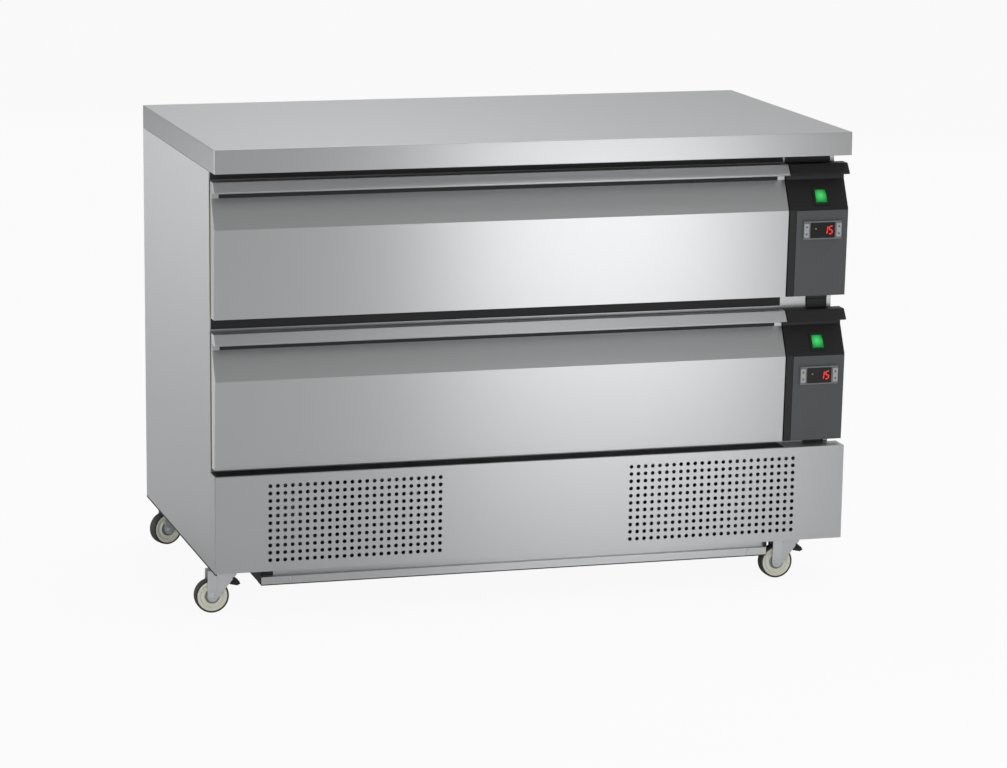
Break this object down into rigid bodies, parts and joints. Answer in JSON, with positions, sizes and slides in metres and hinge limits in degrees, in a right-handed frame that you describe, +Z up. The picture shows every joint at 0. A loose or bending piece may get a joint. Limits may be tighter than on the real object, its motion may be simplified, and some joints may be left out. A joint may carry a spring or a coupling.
{
  "type": "refrigerated drawer counter",
  "caption": "Low stainless steel refrigerated counter with full-width drawers stacked below a worktop, a black control column, a perforated base and swivel casters.",
  "frame": {"origin": "on the floor, in the middle of the whole outline seen from above", "axes": "+X to the right along the front, +Y from the front to the back, +Z up"},
  "size_m": [1.2745, 0.7, 0.885],
  "materials": {
    "stainless": "fine vertical brushing",
    "board": "plain board",
    "galvanised": "zinc coated sheet",
    "foam": "rigid insulating foam",
    "runner_steel": "zinc coated profile",
    "fin_aluminium": "plain fins",
    "motor_steel": "satin",
    "black_enamel": "gloss",
    "copper": "plain tube",
    "zinc": "zinc plated",
    "grey_plate": "satin",
    "window": "tinted, gloss",
    "black_plastic": "satin",
    "black_gloss": "gloss",
    "lining_plastic": "smooth",
    "gasket_rubber": "soft",
    "fan_plastic": "satin",
    "key_grey": "soft touch",
    "lit_green": "translucent, lit from inside",
    "wheel_polyamide": "smooth"
  },
  "bodies": {
    "cabinet": {"worktop": "stainless", "worktop_core": "board", "side_panel_left": "stainless", "side_panel_right": "stainless", "back_panel": "galvanised", "cable_gland": "black_plastic", "base_pan": "galvanised", "plinth_panel": "stainless", "insulation": "foam", "liners": "stainless", "front_frame": "stainless", "cabinet_runners": "runner_steel", "duct_covers": "stainless", "evaporators": "fin_aluminium", "fan_motors": "motor_steel", "compressors": "black_enamel", "condensers": "fin_aluminium", "fan_shrouds": "galvanised", "refrigerant_pipes": "copper", "under_tray": "stainless", "caster_plates": "zinc", "control_plates": "grey_plate", "display_windows": "window", "switch_frames": "black_plastic", "lower_control_housing": "black_plastic", "lower_controller": "black_gloss", "upper_control_housing": "black_plastic", "upper_controller": "black_gloss"},
    "lower_drawer": {"lower_drawer_front": "stainless", "lower_drawer_core": "foam", "lower_drawer_lining": "lining_plastic", "lower_drawer_gasket": "gasket_rubber", "lower_drawer_frame": "stainless"},
    "lower_mid_runner_pair": {"lower_mid_runners": "runner_steel"},
    "lower_rocker": {"lower_switch_rocker": "lit_green"},
    "lower_left_key_pad": {"lower_left_keys": "key_grey"},
    "lower_right_key_pad": {"lower_right_keys": "key_grey"},
    "lower_condenser_fan_wheel": {"lower_condenser_fan": "fan_plastic"},
    "lower_evaporator_fan_wheel": {"lower_evaporator_fan": "fan_plastic"},
    "upper_drawer": {"upper_drawer_front": "stainless", "upper_drawer_core": "foam", "upper_drawer_lining": "lining_plastic", "upper_drawer_gasket": "gasket_rubber", "upper_drawer_frame": "stainless"},
    "upper_mid_runner_pair": {"upper_mid_runners": "runner_steel"},
    "upper_rocker": {"upper_switch_rocker": "lit_green"},
    "upper_left_key_pad": {"upper_left_keys": "key_grey"},
    "upper_right_key_pad": {"upper_right_keys": "key_grey"},
    "upper_condenser_fan_wheel": {"upper_condenser_fan": "fan_plastic"},
    "upper_evaporator_fan_wheel": {"upper_evaporator_fan": "fan_plastic"},
    "front_left_swivel": {"front_left_fork": "zinc"},
    "front_left_roller": {"front_left_wheel": "wheel_polyamide"},
    "front_left_brake": {"front_left_pedal": "black_plastic"},
    "front_right_swivel": {"front_right_fork": "zinc"},
    "front_right_roller": {"front_right_wheel": "wheel_polyamide"},
    "front_right_brake": {"front_right_pedal": "black_plastic"},
    "rear_left_swivel": {"rear_left_fork": "zinc"},
    "rear_left_roller": {"rear_left_wheel": "wheel_polyamide"},
    "rear_right_swivel": {"rear_right_fork": "zinc"},
    "rear_right_roller": {"rear_right_wheel": "wheel_polyamide"}
  },
  "joints": [
    {"name": "lower_drawer_slide", "type": "slide", "parent": "cabinet", "child": "lower_drawer", "axis": [0, -1, 0], "range_m": [0, 0.55]},
    {"name": "lower_mid_runner_slide", "type": "slide", "parent": "cabinet", "child": "lower_mid_runner_pair", "axis": [0, -1, 0], "range_m": [0, 0.275]},
    {"name": "lower_switch_rock", "type": "hinge", "parent": "cabinet", "child": "lower_rocker", "pos_m": [0.58375, -0.3249, 0.47425], "axis": [1, 0, 0], "range_deg": [0, 16]},
    {"name": "lower_left_keys_rock", "type": "hinge", "parent": "cabinet", "child": "lower_left_key_pad", "pos_m": [0.55075, -0.34061, 0.41173], "axis": [1, 0, 0], "range_deg": [-2, 2], "stiffness_Nm_per_rad": 0.5},
    {"name": "lower_right_keys_rock", "type": "hinge", "parent": "cabinet", "child": "lower_right_key_pad", "pos_m": [0.61675, -0.34061, 0.41173], "axis": [1, 0, 0], "range_deg": [-2, 2], "stiffness_Nm_per_rad": 0.5},
    {"name": "lower_condenser_fan_spin", "type": "hinge", "parent": "cabinet", "child": "lower_condenser_fan_wheel", "pos_m": [0.3685, -0.28, 0.173], "axis": [0, 1, 0], "continuous": true},
    {"name": "lower_evaporator_fan_spin", "type": "hinge", "parent": "cabinet", "child": "lower_evaporator_fan_wheel", "pos_m": [0.46475, -0.19, 0.379], "axis": [1, 0, 0], "continuous": true},
    {"name": "upper_drawer_slide", "type": "slide", "parent": "cabinet", "child": "upper_drawer", "axis": [0, -1, 0], "range_m": [0, 0.55]},
    {"name": "upper_mid_runner_slide", "type": "slide", "parent": "cabinet", "child": "upper_mid_runner_pair", "axis": [0, -1, 0], "range_m": [0, 0.275]},
    {"name": "upper_switch_rock", "type": "hinge", "parent": "cabinet", "child": "upper_rocker", "pos_m": [0.58375, -0.3249, 0.75826], "axis": [1, 0, 0], "range_deg": [0, 16]},
    {"name": "upper_left_keys_rock", "type": "hinge", "parent": "cabinet", "child": "upper_left_key_pad", "pos_m": [0.55075, -0.34061, 0.69573], "axis": [1, 0, 0], "range_deg": [-2, 2], "stiffness_Nm_per_rad": 0.5},
    {"name": "upper_right_keys_rock", "type": "hinge", "parent": "cabinet", "child": "upper_right_key_pad", "pos_m": [0.61675, -0.34061, 0.69573], "axis": [1, 0, 0], "range_deg": [-2, 2], "stiffness_Nm_per_rad": 0.5},
    {"name": "upper_condenser_fan_spin", "type": "hinge", "parent": "cabinet", "child": "upper_condenser_fan_wheel", "pos_m": [-0.339, -0.28, 0.173], "axis": [0, 1, 0], "continuous": true},
    {"name": "upper_evaporator_fan_spin", "type": "hinge", "parent": "cabinet", "child": "upper_evaporator_fan_wheel", "pos_m": [0.46475, -0.19, 0.663], "axis": [1, 0, 0], "continuous": true},
    {"name": "front_left_swivel_turn", "type": "hinge", "parent": "cabinet", "child": "front_left_swivel", "pos_m": [-0.58075, -0.285, 0.08], "axis": [0, 0, 1], "continuous": true},
    {"name": "front_left_wheel_turn", "type": "hinge", "parent": "front_left_swivel", "child": "front_left_roller", "pos_m": [-0.60475, -0.285, 0.0325], "axis": [0, 1, 0], "continuous": true},
    {"name": "front_left_brake_tip", "type": "hinge", "parent": "front_left_swivel", "child": "front_left_brake", "pos_m": [-0.56875, -0.285, 0.0626], "axis": [0, 1, 0], "range_deg": [0, 15]},
    {"name": "front_right_swivel_turn", "type": "hinge", "parent": "cabinet", "child": "front_right_swivel", "pos_m": [0.54625, -0.285, 0.08], "axis": [0, 0, 1], "continuous": true},
    {"name": "front_right_wheel_turn", "type": "hinge", "parent": "front_right_swivel", "child": "front_right_roller", "pos_m": [0.52225, -0.285, 0.0325], "axis": [0, 1, 0], "continuous": true},
    {"name": "front_right_brake_tip", "type": "hinge", "parent": "front_right_swivel", "child": "front_right_brake", "pos_m": [0.55825, -0.285, 0.0626], "axis": [0, 1, 0], "range_deg": [0, 15]},
    {"name": "rear_left_swivel_turn", "type": "hinge", "parent": "cabinet", "child": "rear_left_swivel", "pos_m": [-0.55975, 0.285, 0.08], "axis": [0, 0, 1], "continuous": true},
    {"name": "rear_left_wheel_turn", "type": "hinge", "parent": "rear_left_swivel", "child": "rear_left_roller", "pos_m": [-0.58257, 0.27758, 0.0325], "axis": [-0.309, 0.9511, 0], "continuous": true},
    {"name": "rear_right_swivel_turn", "type": "hinge", "parent": "cabinet", "child": "rear_right_swivel", "pos_m": [0.52525, 0.285, 0.08], "axis": [0, 0, 1], "continuous": true},
    {"name": "rear_right_wheel_turn", "type": "hinge", "parent": "rear_right_swivel", "child": "rear_right_roller", "pos_m": [0.50243, 0.27758, 0.0325], "axis": [-0.309, 0.9511, 0], "continuous": true}
  ],
  "couplings": [
    {"joint": "lower_mid_runner_slide", "follows": "lower_drawer_slide", "ratio": 0.5},
    {"joint": "upper_mid_runner_slide", "follows": "upper_drawer_slide", "ratio": 0.5}
  ]
}
